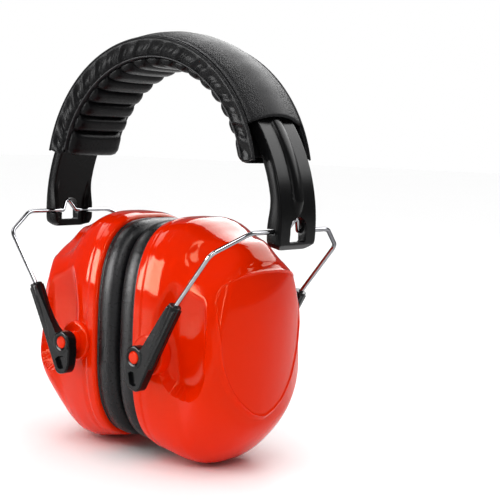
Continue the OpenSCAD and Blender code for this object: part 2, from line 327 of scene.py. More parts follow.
class Surface:
    """A Principled material and the nodes that feed it, in object coordinates."""

    def __init__(self, name, colour, roughness, metallic=0.0):
        self.material = bpy.data.materials.new(name)
        self.material.use_nodes = True
        self.tree = self.material.node_tree
        self.shader = self.tree.nodes["Principled BSDF"]
        self.shader.inputs["Metallic"].default_value = metallic
        self.shader.inputs["Roughness"].default_value = roughness
        self.shader.inputs["Base Color"].default_value = (*colour, 1)
        self.place = self.node("ShaderNodeTexCoord").outputs["Object"]
        self.normal = None

    def node(self, kind, links=None, **settings):
        """New node with its settings and with links to the inputs that are named."""
        made = self.tree.nodes.new(kind)
        for key, value in settings.items():
            setattr(made, key, value)
        for key, socket in (links or {}).items():
            self.tree.links.new(socket, made.inputs[key])
        return made

    def set(self, **values):
        """Values of the shader's own sockets, with _ for each space in a name."""
        for key, value in values.items():
            self.shader.inputs[key.replace("_", " ")].default_value = value

    def noise(self, scale, detail=3.0):
        made = self.node("ShaderNodeTexNoise", {"Vector": self.place})
        made.inputs["Scale"].default_value = scale
        made.inputs["Detail"].default_value = detail
        return made.outputs["Fac"]

    def cells(self, scale):
        """Distance to the nearest border of irregular cells."""
        made = self.node("ShaderNodeTexVoronoi", {"Vector": self.place}, feature="DISTANCE_TO_EDGE")
        made.inputs["Scale"].default_value = scale
        return made.outputs["Distance"]

    def ramp(self, factor, low, high, from_low=0.0, from_high=1.0):
        """Runs from low to high as the factor runs from from_low to from_high."""
        made = self.node("ShaderNodeMapRange", {"Value": factor})
        limits = {"From Min": from_low, "From Max": from_high, "To Min": low, "To Max": high}
        for key, value in limits.items():
            made.inputs[key].default_value = value
        return made.outputs["Result"]

    def maths(self, operation, *sockets):
        made = self.node("ShaderNodeMath", operation=operation)
        for socket, taken in zip(sockets, made.inputs):
            self.tree.links.new(socket, taken)
        return made.outputs["Value"]

    def axis(self, name):
        return self.node("ShaderNodeSeparateXYZ", {"Vector": self.place}).outputs[name]

    def colour_between(self, factor, low, high):
        made = self.node("ShaderNodeMix", {"Factor": factor}, data_type="RGBA")
        first, second = [s for s in made.inputs if s.type == "RGBA"]
        first.default_value = (*low, 1)
        second.default_value = (*high, 1)
        out = [s for s in made.outputs if s.type == "RGBA"][0]
        self.tree.links.new(out, self.shader.inputs["Base Color"])

    def vary_roughness(self, low, high, scale, detail=3.0):
        """Roughness that drifts between two values."""
        drift = self.ramp(self.noise(scale, detail), low, high)
        self.tree.links.new(drift, self.shader.inputs["Roughness"])

    def bump(self, height, distance_mm, strength):
        """Fine relief, on top of any relief that the surface has already."""
        links = {"Height": height}
        if self.normal is not None:
            links["Normal"] = self.normal
        made = self.node("ShaderNodeBump", links)
        made.inputs["Distance"].default_value = distance_mm * MM
        made.inputs["Strength"].default_value = strength
        self.normal = made.outputs["Normal"]
        self.tree.links.new(self.normal, self.shader.inputs["Normal"])


def cup_plastic():
    surface = Surface("cup_plastic", (0.7, 0.016, 0.0), 0.12)
    surface.colour_between(surface.noise(14, detail=2), (0.72, 0.014, 0.0), (0.77, 0.019, 0.0))
    surface.vary_roughness(0.05, 0.1, scale=60, detail=4)
    surface.set(Specular_IOR_Level=0.16, Specular_Tint=(1.0, 0.78, 0.45, 1.0))
    surface.bump(surface.noise(30, detail=1), distance_mm=0.02, strength=0.1)
    surface.bump(surface.noise(1400, detail=2), distance_mm=0.004, strength=0.3)
    return surface.material


def leatherette(name, colour_low, colour_high, grain, depth_mm, shine):
    """Black leatherette with soft dents and a fine grain."""
    surface = Surface(name, colour_low, 0.4)
    surface.colour_between(surface.noise(220, detail=4), colour_low, colour_high)
    pores = surface.ramp(surface.cells(grain), 0, 1, from_high=0.25)
    surface.vary_roughness(0.22, 0.36, scale=900)
    surface.set(Specular_IOR_Level=shine)
    surface.bump(surface.noise(120), distance_mm=0.25, strength=0.35)
    surface.bump(pores, depth_mm, strength=0.8)
    return surface.material


def cover_leather():
    """Leatherette of the band: smooth along the middle, grained along both edges."""
    surface = Surface("cover_leather", (0.009, 0.009, 0.01), 0.42)
    dark, pale = (0.007, 0.007, 0.0075), (0.014, 0.014, 0.015)
    surface.colour_between(surface.noise(150, detail=4), dark, pale)
    off_middle = surface.maths("ABSOLUTE", surface.axis("Y"))
    edge_zone = surface.ramp(off_middle, 0.12, 1.0, from_low=0.006, from_high=0.011)
    pores = surface.ramp(surface.cells(900), 0, 1, from_high=0.3)
    grain = surface.maths("ADD", pores, surface.noise(700, detail=4))
    grain = surface.maths("MULTIPLY", grain, edge_zone)
    surface.vary_roughness(0.36, 0.5, scale=500)
    surface.set(Specular_IOR_Level=0.045)
    surface.bump(surface.noise(60, detail=2), distance_mm=0.3, strength=0.2)
    surface.bump(grain, distance_mm=0.16, strength=0.7)
    return surface.material


def moulded(name, colour, rough_low, rough_high, coat=0.0, shine=0.14):
    surface = Surface(name, colour, rough_low)
    lighter = tuple(min(1, c * 1.7 + 0.002) for c in colour)
    surface.colour_between(surface.noise(40, detail=5), colour, lighter)
    surface.vary_roughness(rough_low, rough_high, scale=130, detail=5)
    surface.set(Coat_Weight=coat, Coat_Roughness=0.08, Specular_IOR_Level=shine)
    surface.bump(surface.noise(900), distance_mm=0.01, strength=0.5)
    return surface.material


def bright_steel():
    """Drawn wire, with the edge tint that keeps its outline dark."""
    surface = Surface("yoke_steel", (0.82, 0.82, 0.84), 0.12, metallic=1.0)
    surface.colour_between(surface.noise(300, detail=4), (0.26, 0.26, 0.27), (0.38, 0.38, 0.4))
    surface.vary_roughness(0.03, 0.08, scale=1800)
    surface.set(Specular_Tint=(0.06, 0.06, 0.06, 1.0))
    return surface.material


def open_foam():
    surface = Surface("foam", (0.035, 0.035, 0.038), 0.95)
    # Painted shade: the sunken borders between the foam's cells are coloured darker, following the
    # same cells as the bump.
    surface.colour_between(surface.cells(700), (0.012, 0.012, 0.013), (0.06, 0.06, 0.064))
    surface.bump(surface.cells(700), distance_mm=0.5, strength=0.9)
    return surface.material


MATERIALS = {
    "cup_plastic": cup_plastic(),
    "cushion_leather": leatherette(
        "cushion_leather", (0.004, 0.004, 0.0045), (0.009, 0.009, 0.01),
        grain=1500, depth_mm=0.035, shine=0.2,
    ),
    "pad_leather": leatherette(
        "pad_leather", (0.0025, 0.0025, 0.003), (0.006, 0.006, 0.0065),
        grain=1300, depth_mm=0.03, shine=0.07,
    ),
    "cover_leather": cover_leather(),
    "arm_plastic": moulded("arm_plastic", (0.002, 0.002, 0.0022), 0.18, 0.28, shine=0.07),
    "bracket_plastic": moulded(
        "bracket_plastic", (0.003, 0.003, 0.0033), 0.1, 0.18, coat=0.08, shine=0.1
    ),
    "carrier_plastic": moulded("carrier_plastic", (0.009, 0.009, 0.01), 0.4, 0.55),
    "plate_plastic": moulded("plate_plastic", (0.01, 0.01, 0.011), 0.4, 0.55),
    "yoke_steel": bright_steel(),
    "foam": open_foam(),
}


# -------- cups

# The cup's skin is found along rays from this point inside it.
RAY_X = 30.0
RAY_Z = 60.0
RAY_ORIGIN = np.array([RAY_X, 0, RAY_Z])
CUP_COLUMNS = 480
INNER_ROWS = 34

# Sections of the wall at each ROW_X: half width, lowest and highest z, squareness.
ROW_X = [12.1, 14, 20, 25, 30, 35, 40, 45, 50, 54, 60, 70]
ROW_HALF_W = [36.6, 37, 37, 36.5, 35.6, 34.8, 33.6, 33.2, 32.6, 32, 31.2, 29]
ROW_LOW = [5, 4.4, 2.6, 1.2, 0.3, 0, 1, 2.8, 4.8, 6.6, 9.6, 17]
ROW_HIGH = [112, 112.6, 113.8, 114, 112.8, 110.6, 108.2, 106.4, 105, 103.4, 100, 92]
ROW_SQUARE = [3, 3, 3, 2.9, 2.9, 2.8, 2.8, 2.7, 2.6, 2.5, 2.4, 2.4]

# Outline (y, z) of the raised shield on the outer face.
SHIELD = [
    (0, 92.1), (-10, 91.6), (-19, 89.8), (-25.4, 86.4), (-28.4, 80.6), (-28.9, 71.6), (-28.2, 60.2),
    (-26.4, 49.5), (-22.2, 40.4), (-15, 32.6), (-7.5, 28.1), (-3, 27.3), (0.5, 28.2), (8.6, 32.6),
    (16.4, 40.4), (22, 49.5), (25.8, 60.2), (27.9, 71.6), (28, 80.6), (25.6, 86.4), (19.6, 89.8),
    (10.6, 91.6),
]
SHIELD_BEVEL = 2.2
SHIELD_RISE = 0.9
SHIELD_LINE = 0.6  # height of the raised line along its edge

FACE_X = 63.1  # outer face at its middle
FACE_FALL = (5.8, 1.3)  # how far it falls back in y and in z
CHEEK = 4.4  # bulge of both sides, largest at CHEEK_Z
CHEEK_Z = 38.6
BEAD = 1.3  # radius of the rim's edge
STRIP_STEP = 0.45
TOP_Z = 95.2  # where the sloping top meets the outer face
SCOOP_REACH = 21.5  # hollow in each corner of the top
SCOOP_DEPTH = 15
POCKET_LOW = 37.6  # pocket under each bracket
POCKET_X = (28.0, 51.6)
POCKET_Y = 28.6
SHOULDER_R = (4.5, 21.0)  # edge of the outer face at the top and at the bottom


def shield_radius(turn):
    """Distance from the face's middle to the shield's outline in a direction."""
    angles = np.array([math.atan2(z - RAY_Z, y) for y, z in SHIELD])
    radii = np.array([math.hypot(y, z - RAY_Z) for y, z in SHIELD])
    order = np.argsort(angles)
    angles, radii = angles[order], radii[order]
    knots = np.concatenate([angles[-4:] - 2 * math.pi, angles, angles[:4] + 2 * math.pi])
    values = np.concatenate([radii[-4:], radii, radii[:4]])
    return smooth_curve(knots, values, np.arctan2(np.sin(turn), np.cos(turn)))


def face_x(y, z):
    """Outer face of the cup without its shield."""
    return FACE_X - FACE_FALL[0] * (y / 28) ** 2 - FACE_FALL[1] * ((z - 50) / 29) ** 2


def shield_relief(inside):
    """Height of the raised shield at a distance inside the foot of its bevel."""
    ramp = np.clip(inside / SHIELD_BEVEL, 0, 1)
    line = np.exp(-(((inside - SHIELD_BEVEL) / 0.4) ** 2))
    return SHIELD_RISE * (0.7 * ramp + 0.3 * smooth_step(0, 1, ramp)) + SHIELD_LINE * line


def side_distance(x, y, z):
    """Distance outside the cup's wall, measured towards the ring's centre."""
    half_w = smooth_curve(ROW_X, ROW_HALF_W, x)
    low, high = smooth_curve(ROW_X, ROW_LOW, x), smooth_curve(ROW_X, ROW_HIGH, x)
    square = smooth_curve(ROW_X, ROW_SQUARE, x)
    # Both sides bulge low down, near the outer face.
    half_w = half_w + CHEEK * smooth_step(34, 54, x) * np.exp(-(((z - CHEEK_Z) / 17) ** 2))
    bead = np.clip((RIM_X + BEAD - x) / BEAD, 0, 1)
    inset = BEAD * (1 - np.sqrt(np.maximum(0, 1 - bead**2)))
    # The strip beside the cushion stands a little proud of the rest of the flange.
    inset = inset + STRIP_STEP * smooth_step(17.0, 17.9, x)
    v = z - (low + high) / 2
    reach = np.hypot(y, v) + 1e-9
    ratio = (np.abs(y / half_w) ** square + np.abs(2 * v / (high - low)) ** square) ** (1 / square)
    return reach * (1 - 1 / np.maximum(ratio, 1e-6)) + inset


def arch_z(y):
    """Height of the edge where the sloping top meets the outer face."""
    return TOP_Z - 9.6 * (np.abs(y) / 29) ** 2.6


def scoop_z(x, y):
    """Sloping top: nearly straight in the middle, hollowed towards the front and rear."""
    height = arch_z(y)
    back = face_x(y, height) - x
    side = smooth_step(5, 25, np.abs(y))
    slope = 1.25 * (1 - side) + 0.06 * side
    reach = np.clip(back / SCOOP_REACH, 0, 1)
    hollow = SCOOP_DEPTH * side * (1 - np.sqrt(np.maximum(0, 1 - reach**2)))
    return height + slope * back + hollow + 6 * side * np.maximum(0, back - SCOOP_REACH)


def pocket_distance(x, y, z):
    """Distance outside the pocket that lets the bracket swing, on either side."""
    middle, half = sum(POCKET_X) / 2, (POCKET_X[1] - POCKET_X[0]) / 2
    below = np.maximum(POCKET_LOW + half - z, 0)
    outline = np.hypot(x - middle, below) - half
    outline = np.where((x > middle) | (below > 0), outline, -half)
    floor_y = POCKET_Y - 0.0016 * (z - 62) ** 2 + 9.5 * (1 - smooth_step(21, 35, x))
    floor_y = floor_y + 8 * smooth_step(66, 104, z)
    return round_both(outline, floor_y - np.abs(y), 3.2)


def cup_distance(points):
    """Below zero inside the cup's outer skin."""
    x, y, z = points[..., 0], points[..., 1], points[..., 2]
    turn = np.arctan2(z - RAY_Z, y)
    inside = shield_radius(turn) + SHIELD_BEVEL - np.hypot(y, z - RAY_Z)
    face = x - face_x(y, z) - shield_relief(inside)
    shoulder = SHOULDER_R[0] + (SHOULDER_R[1] - SHOULDER_R[0]) * smooth_step(45, 5, z)
    body = round_both(side_distance(x, y, z), face, shoulder)
    body = round_both(body, 0.85 * (z - scoop_z(x, y)), 1.6)
    return round_both(body, -pocket_distance(x, y, z), 1.0)


def halve(distance, origin, direction, low, high, times):
    """Narrows down where rays cross a surface between two distances."""
    for _ in range(times):
        middle = (low + high) / 2
        outside = distance(origin + middle[..., None] * direction) > 0
        high = np.where(outside, middle, high)
        low = np.where(outside, low, middle)
    return low


def ray_hits(distance, origin, direction, near=4.0, far=90.0, step=0.8):
    """Where rays from inside a solid first leave it, looking back for hollows on the way."""
    shape = direction.shape[:-1]
    reach = halve(distance, origin, direction, np.full(shape, near), np.full(shape, far), 30)
    first = reach
    for k in range(1, 13):
        probe = reach - k * step
        outside = distance(origin + probe[..., None] * direction) > 0
        first = np.where(outside & (probe > near), probe, first)
    moved = halve(distance, origin, direction, first - step, first, 20)
    reach = np.where(first < reach, moved, reach)
    return origin + reach[..., None] * direction


def cup_ray_angles(turn):
    """Ray angles for each ring of the cup, from the rim to the middle of the face."""
    stations = np.concatenate([
        RIM_X + np.array([0, 0.08, 0.25, 0.5, 0.85, 1.3]),  # the rim's bead
        np.linspace(14, 46, 62),
        np.linspace(46.4, 56, 34),
    ])
    flat = np.stack([np.zeros_like(turn), np.cos(turn), np.sin(turn)], -1)
    angles = []
    for x in stations:
        ring = ray_hits(
            lambda p: side_distance(p[..., 0], p[..., 1], p[..., 2]),
            np.array([x, 0, RAY_Z]), flat,
        )
        angles.append(np.arctan2(x - RAY_X, np.hypot(ring[:, 1], ring[:, 2] - RAY_Z)))
    # Rings on the face: close together over the shield's bevel and line, then ever wider.
    outer = shield_radius(turn) + SHIELD_BEVEL + 0.4
    fine = 3.4
    radii = [outer - step for step in np.linspace(0, fine, 20)]
    radii += [(outer - fine) * (1 - (step - fine) / 58.0) for step in np.geomspace(4.0, 60, 22)]
    face = [
        np.arctan2(face_x(r * np.cos(turn), RAY_Z + r * np.sin(turn)) - RAY_X, r) for r in radii
    ]
    last, first = angles[-1], face[0]
    shoulder = [last + (first - last) * t for t in np.linspace(0, 1, 14)[1:-1]]
    return np.array(angles + shoulder + face)


def outer_rows():
    """Rings of points on the cup's outer skin, from the rim to the middle of the face."""
    turn = full_turn(CUP_COLUMNS)
    tilt = cup_ray_angles(turn)
    direction = np.stack([
        np.sin(tilt), np.cos(tilt) * np.cos(turn)[None, :], np.cos(tilt) * np.sin(turn)[None, :]
    ], -1)
    return ray_hits(cup_distance, RAY_ORIGIN, direction)


def cup_skin(outer):
    """Outer skin with pockets, scooped top and shield, and a plain inner skin."""
    lip = outer[0].copy()
    lip[:, 1:] = [0, RIM_Z] + (lip[:, 1:] - [0, RIM_Z]) * (1 - CUP_WALL / 45)
    inner = [lip]
    for row in np.linspace(6, len(outer) - 1, INNER_ROWS).astype(int):
        away = outer[row] - RAY_ORIGIN
        reach = np.linalg.norm(away, axis=1)[:, None]
        inner.append(RAY_ORIGIN + away * (1 - CUP_WALL / reach))
    return tube_shell(np.concatenate([np.array(inner)[::-1], outer]))


def foam_liner(skin_rows):
    """Foam block that follows the inside of the cup's outer part."""
    away = skin_rows - RAY_ORIGIN
    reach = np.linalg.norm(away, axis=-1, keepdims=True)
    rows = RAY_ORIGIN + away * (1 - (CUP_WALL + LINER_GAP) / reach)
    rows = rows[rows[:, :, 0].min(axis=1) > LINER_LOW[0]]
    return tube_shell(rows[::2, ::4])


def pivot_boss():
    """Collar, neck and pin that carry a bracket, on the rear side of the right cup."""
    profile = [
        (9.2, 33.0), (9.2, 37.9), (9.0, 38.4), (8.5, 38.75), (7.9, 38.8), (4.6, 38.8), (4.6, 41.4),
        (PIN_R, 41.45), (PIN_R, 46.9), (2.6, 47.3), (2.1, 47.45), (0.4, 47.5),
    ]
    return turned(profile, PIN)


def build_cup(outer):
    boss = pivot_boss()
    return join_shells(cup_skin(outer), boss, mirror_shell(boss, 1))


# -------- ear cushions

CUSHION_COLUMNS = 360
CUSHION_MIDDLE = np.array([9.5, 6.5])
FOAM_SHARE = 0.8  # size of the foam's section beside the skin's

# Section of the ring: distance in from the cup's rim, x.
CUSHION_SECTION = [
    (2.6, 12.0), (1.7, 10.9), (1.15, 9.3), (0.9, 7.4), (1.05, 5.3), (1.8, 3.2), (3.2, 1.6),
    (5.2, 0.75), (8.2, 0.55), (11.2, 0.75), (13.8, 1.7), (15.8, 3.6), (16.8, 6.4), (17.2, 9.2),
    (16.9, 12.0),
]


def rim_ring(turn, x, inset):
    """Ring of points at one x, an inset in from the rim's rounded rectangle."""
    c, s = np.cos(turn), np.sin(turn)
    y = np.sign(c) * np.abs(c) ** (2 / 3)
    z = np.sign(s) * np.abs(s) ** (2 / 3)
    y, z = y * (RIM_HALF_W - inset), RIM_Z + z * (RIM_HALF_H - inset)
    return np.stack([np.full_like(turn, x), y, z], -1)


def closed_curve(points, steps):
    """Smooth closed curve through 2-D points (Catmull-Rom)."""
    points = np.asarray(points, float)
    curve = []
    for i in range(len(points)):
        a, b, c, d = (points[(i + k) % len(points)] for k in (-1, 0, 1, 2))
        for t in np.linspace(0, 1, steps, endpoint=False):
            curve.append(0.5 * (
                2 * b + (c - a) * t + (2 * a - 5 * b + 4 * c - d) * t * t
                + (3 * b - a - 3 * c + d) * t**3
            ))
    return np.array(curve)


def ear_cushion():
    """Crowned ring with faint creases where the skin is gathered round the rim."""
    turn = full_turn(CUSHION_COLUMNS) + 0.004
    section = closed_curve(CUSHION_SECTION, 4)
    around = turn / (2 * math.pi) * 360
    rows = []
    for inset, x in section:
        side = smooth_step(9, 2, inset)
        crease = 0.16 * side * ripple(around, 7, 7, 0.15, 0.75) * smooth_step(1.0, 6.0, x)
        gather = 0.1 * side * ripple(around, 11, 6, 0.9, 2.2) * smooth_step(6.5, 11.0, x)
        rows.append(rim_ring(turn, x, inset + crease + gather))
    return ring_shell(np.array(rows))


def foam_ring():
    """Foam core of a cushion: its section drawn in on all sides."""
    turn = full_turn(120)
    section = CUSHION_MIDDLE + (closed_curve(CUSHION_SECTION, 2) - CUSHION_MIDDLE) * FOAM_SHARE
    return ring_shell(np.array([rim_ring(turn, x, inset) for inset, x in section]))


# -------- headband

SKIN_T = 1.15
EDGE_LINE_Y = 16.9  # the cover is drawn in a little along this line
WALL_MIDDLE = np.array([19.0, 62.5])

# Section (y, radius) of the gathered wall between the cover and the head pad.
WALL_SECTION = [
    (20.25, 66.9), (20.3, 65.4), (20.1, 63.4), (20.0, 61.8), (19.6, 60.4), (18.7, 59.4),
    (17.4, 59.0), (16.4, 59.6), (17.4, 60.6), (18.9, 61.8), (19.2, 66.4), (19.7, 66.9),
]

# Section (y, radius) of the carrier strip.
STRIP_SECTION = [
    (-18.3, 58.4), (18.3, 58.4), (18.6, 58.7), (18.6, 59.0), (18.3, 59.3), (-18.3, 59.3),
    (-18.6, 59.0), (-18.6, 58.7),
]


def crown_r(y, inset=0.0):
    """Radius of the crowned cover at a y."""
    return BAND_R + BAND_CROWN * (1 - (np.abs(y) / BAND_HALF_W) ** 1.9) - inset


def skin_end_angle(y):
    """Arched cut edge of the cover: higher in the middle than at its corners."""
    return SKIN_END + 2.2 * (1 - (np.abs(y) / BAND_HALF_W) ** 2)


def cover_skin():
    """Crowned outer skin of the band with a rolled edge at both ends."""
    y = np.linspace(-BAND_HALF_W + 0.35, BAND_HALF_W - 0.35, 57)
    share = np.linspace(0, 1, 241)
    end = skin_end_angle(y)
    angle = end[None, :] + (180 - 2 * end)[None, :] * share[:, None]
    near_end = np.minimum(share, 1 - share)[:, None] * 130
    roll = 0.5 * smooth_step(0.7, 0.0, near_end)
    line = 0.3 * np.exp(-(((np.abs(y) - EDGE_LINE_Y) / 0.55) ** 2))
    wave = 0.12 * ripple(angle * 0.35, 3, 5) * smooth_step(20, 12, np.abs(y))[None, :]
    outer = band_point(angle, crown_r(y)[None, :] - roll - line[None, :] + wave, y[None, :])
    inner = band_point(angle, crown_r(y, SKIN_T)[None, :], (y * 0.985)[None, :])
    grid = np.concatenate([outer, inner[:, ::-1]], axis=1)
    rows, cols, _ = grid.shape
    return grid.reshape(-1, 3), grid_faces(rows, cols) + strip_caps(rows, cols)


def pucker(angle):
    """How far the gathered side wall bulges at each angle."""
    beat = np.cos(2 * math.pi * (angle - PAD_LOBE - RIB_PITCH / 2) / RIB_PITCH)
    slow, quick = ripple(angle, 21, 6, 0.35, 1.3), ripple(angle, 22, 6, 1.4, 2.6)
    return 0.5 * beat + 0.6 * slow + 0.35 * quick


def side_wall():
    """Gathered wall between the cover's edge and the head pad, on the rear side."""
    angle = np.linspace(FLAP_END, 180 - FLAP_END, 640)
    section = closed_curve(WALL_SECTION, 3)
    rows = []
    for a in angle:
        y, r = section.T
        wall = smooth_step(66.6, 63.8, r) * smooth_step(18.0, 19.5, y)
        fold = pucker(np.array(a + 1.5 * np.sin(r * 0.6)))
        y = y + 0.75 * wall * fold - 0.55 * wall
        r = r - 0.8 * smooth_step(61.5, 59.0, r) * fold
        past_end = max(0.0, FLAP_END + 1.2 - min(a, 180 - a)) / 1.2
        shrink = 1 - 0.6 * (1 - math.sqrt(max(0.0, 1 - past_end**2)))
        y = WALL_MIDDLE[0] + (y - WALL_MIDDLE[0]) * shrink
        r = WALL_MIDDLE[1] + (r - WALL_MIDDLE[1]) * shrink
        rows.append(band_point(a, r, y))
    return tube_shell(np.array(rows))


def piping():
    """Two raised lines along each edge of the cover."""
    shells = []
    for y, r, radius, end in (
        (BAND_HALF_W - 0.45, BAND_R + 0.05, 0.55, FLAP_END),
        (BAND_HALF_W - 1.7, crown_r(BAND_HALF_W - 1.7) + 0.02, 0.32, SKIN_END + 0.4),
    ):
        angle = np.linspace(end, 180 - end, 260)
        shell = sweep(band_point(angle, r, y), radius, 12)
        shells += [shell, mirror_shell(shell, 1)]
    return join_shells(*shells)


def rib_height(angle):
    """0 in the grooves of the head pad and 1 on its ribs."""
    side = np.minimum(angle, 180 - angle)
    phase = ((angle - PAD_LOBE) / RIB_PITCH) % 1
    rib = (1 - np.abs(2 * phase - 1) ** 3) ** 0.7
    share = np.clip((side - PAD_END) / (PAD_LOBE - PAD_END), 0, 1)
    lower_end = np.clip(share / 0.35, 0, 1)
    lobe = (1 - share**9) * np.sqrt(lower_end * (2 - lower_end))
    return np.where(side < PAD_LOBE, lobe, rib)


def head_pad():
    """Ribbed pad: rounded rib tops whose ends round over towards the side walls."""
    angle = np.linspace(PAD_END, 180 - PAD_END, PAD_RIBS * 26 + 90)
    across = np.sin(np.linspace(-1, 1, 61) * math.pi / 2) * PAD_HALF_W
    height = rib_height(angle)[:, None]
    edge = np.abs(across)[None, :] / PAD_HALF_W
    end_round = np.sqrt(np.maximum(0, 1 - edge ** (6 + 3 * height)))
    crown = 0.5 * (1 - edge**2)
    wave = 0.12 * ripple(angle * 0.8, 5)[:, None] * ripple(across * 0.2, 6)[None, :]
    depth = 0.6 + (3.6 * height + (crown + wave) * np.sqrt(height)) * end_round
    past_end = np.clip((PAD_END + 4.5 - np.minimum(angle, 180 - angle)) / 4.5, 0, 1)[:, None]
    narrow = (1 - 0.09 * (1 - height)) * (0.84 + 0.16 * np.sqrt(1 - past_end**2))
    inner = band_point(angle[:, None], CORE_R + 0.3 - depth, across[None, :] * narrow)
    outer = band_point(angle[:, None], CORE_R + 0.15, across[None, ::-1] * narrow * 0.97)
    return tube_shell(np.concatenate([inner, outer], axis=1))


def core_strip():
    """Plain springy strip under the cover, just above the head pad."""
    angle = np.linspace(PAD_END + 2.5, 180 - PAD_END - 2.5, 160)
    y, r = np.array(STRIP_SECTION).T
    return tube_shell(np.array([band_point(a, r, y) for a in angle]))


# -------- arms

RIB_HALF_W = 3.8
RIB_RISE = 1.6
RIB_FOOT = 3.4  # angle where the rib starts
FOOT_R = 5.0  # corners of the head
SLOT_HALF = 1.1  # half height of the slot that holds the wire


def arm_outer(angle, y):
    """Radius of an arm's outer face: plain blade with a half-round rib that tapers out."""
    half = RIB_HALF_W * smooth_step(RIB_FOOT, 10.0, angle) ** 0.5 + 0.01
    rise = RIB_RISE * smooth_step(RIB_FOOT, 8.5, angle)
    rib = rise * np.sqrt(np.maximum(0, 1 - (y / half) ** 2))
    return ARM_R + rib


def arm_ring(angle):
    """One cross-section of an arm, from its front edge over the outer face and back."""
    z_out = ARM_Z + ARM_R * math.sin(math.radians(angle))
    above = max(z_out - HEAD_LOW_Z, 0.0)
    corner = max(0.0, FOOT_R - above)
    half = ARM_HALF_W - (FOOT_R - math.sqrt(max(0.0, FOOT_R**2 - corner**2)))
    soft = 0.7
    y = half * np.sin(np.linspace(-1, 1, 61) * math.pi / 2)
    y = 0.35 * y + 0.65 * np.linspace(-half, half, 61)
    drop = soft - np.sqrt(np.maximum(0, soft**2 - np.maximum(0, np.abs(y) - half + soft) ** 2))
    chamfer = max(0.0, 2.8 - above) * 0.95
    radius = arm_outer(angle, y) - drop - chamfer
    cos, sin = math.cos(math.radians(angle)), math.sin(math.radians(angle))
    outer = np.stack([radius * cos, y, ARM_Z + radius * sin], -1)
    blade = (ARM_R - ARM_T - ARM_SWELL * smooth_step(46, 34, angle)) * cos
    head = smooth_step(12, -1, angle)
    recess = HEAD_RECESS * smooth_step(10.4, 9.6, np.abs(y[::-1]))
    inner_x = blade * (1 - head) + (HEAD_IN_X + recess) * head
    inner_z = ARM_Z + inner_x * math.tan(math.radians(angle))
    inner = np.stack([inner_x + drop[::-1] * cos, y[::-1], inner_z], -1)
    return np.concatenate([outer, inner])


def build_arm():
    low = -math.degrees(math.asin((ARM_Z - HEAD_LOW_Z) / ARM_R))
    angles = np.concatenate([
        low + np.array([0, 0.1, 0.3, 0.6, 0.95, 1.3, 1.7, 2.1, 2.6, 3.2, 3.9]),
        np.linspace(low + 4.4, 26, 64), np.linspace(26.8, ARM_TIP, 24),
    ])
    return tube_shell(np.array([arm_ring(a) for a in angles]))


def block(low, high):
    """Plain box, used only to cut with."""
    x, y, z = zip(low, high)
    points = np.array([(a, b, c) for a in x for b in y for c in z], float)
    faces = [(0, 1, 3, 2), (4, 6, 7, 5), (0, 4, 5, 1), (2, 3, 7, 6), (0, 2, 6, 4), (1, 5, 7, 3)]
    return points, faces


def window_prism():
    """Arched window through the arm's head."""
    turn = np.linspace(0, math.pi, 25)
    outline = [(5.7 * math.cos(t), 111.6 + 5.5 * math.sin(t)) for t in turn]
    outline += [(-5.7, 106.3), (-5.0, 105.7), (5.0, 105.7), (5.7, 106.3)]
    ring = np.array(outline)
    rows = [np.column_stack([np.full(len(ring), x), ring]) for x in (60.0, 90.0)]
    return tube_shell(np.array(rows))


def cut(piece, shell):
    """Cuts a shell out of a piece."""
    cutter = make_piece("cutter", shell, piece.data.materials[0])
    modifier = piece.modifiers.new("cut", "BOOLEAN")
    modifier.operation = "DIFFERENCE"
    modifier.solver = "EXACT"
    modifier.object = cutter
    apply_modifiers(piece)
    bpy.data.objects.remove(cutter)


def soften_edges(piece, width_mm):
    """Small bevel along every sharp edge."""
    modifier = piece.modifiers.new("edge", "BEVEL")
    modifier.width = width_mm * MM
    modifier.segments = 2
    modifier.limit_method = "ANGLE"
    modifier.angle_limit = math.radians(40)
    apply_modifiers(piece)


def make_arm(side):
    """Arm with its window and with the slot that holds the wire."""
    piece = make_piece(f"{side}_slide_arm", on_side(side, build_arm()), MATERIALS["arm_plastic"])
    cut(piece, on_side(side, window_prism()))
    slot = block(
        (HEAD_IN_X - 6, -20, AXLE[1] - SLOT_HALF), (AXLE[0] + SLOT_HALF, 20, AXLE[1] + SLOT_HALF)
    )
    cut(piece, on_side(side, slot))
    soften_edges(piece, 0.35)
    piece.data.shade_smooth()
    piece.data.set_sharp_from_angle(angle=math.radians(32))
    return piece


# -------- yoke wires

# Corners of the wire's rear half, from the kink in the arm's window to the bracket.
YOKE_CORNERS = [
    (74.4, 0.9, 115.6), (72.4, 4.4, 110.5), (72, 6.0, 110.5), (72, 27.3, 110.5),
    (64.5, 44.5, 101.6), (45.4, 44.5, 77.3), (42.4, 44.5, 71.6),
]
YOKE_BEND_R = 3.2


def yoke_wire():
    """Bent spring wire, from one bracket through the arm to the other."""
    rear = [np.array(p, float) for p in YOKE_CORNERS]
    front = [p * [1, -1, 1] for p in rear]
    path = rounded_path(rear[::-1] + front, YOKE_BEND_R)
    return sweep(path, WIRE_R, 24)


# -------- brackets

# Outlines (x, z) of the plate below and above its eye, and of the hollow below the eye.
BRACKET_LOWER = [
    (47.4, 75.6), (42.2, 66.2), (36.5, 55.6), (31.0, 45.2), (27.6, 38.9), (26.6, 37.8),
    (25.0, 37.4), (22.6, 37.9), (21.2, 38.5), (20.0, 39.8), (19.0, 42.4), (18.6, 46.4),
    (18.5, 50.0),
]
BRACKET_UPPER = [(28.0, 56.6), (30.6, 58.4), (34.2, 62.2), (37.8, 67.4), (42.9, 78.0)]
BRACKET_HOLLOW = [
    (21.0, 45.3), (22.6, 46.4), (26.3, 45.6), (27.8, 44.2), (25.6, 40.2), (24.2, 39.8),
    (21.9, 40.7),
]
HOLLOW_DEPTH = 2.2
EYE_R = 5.1
FIT = 0.12  # play round the pin and the wire
VOXEL_MM = 0.3


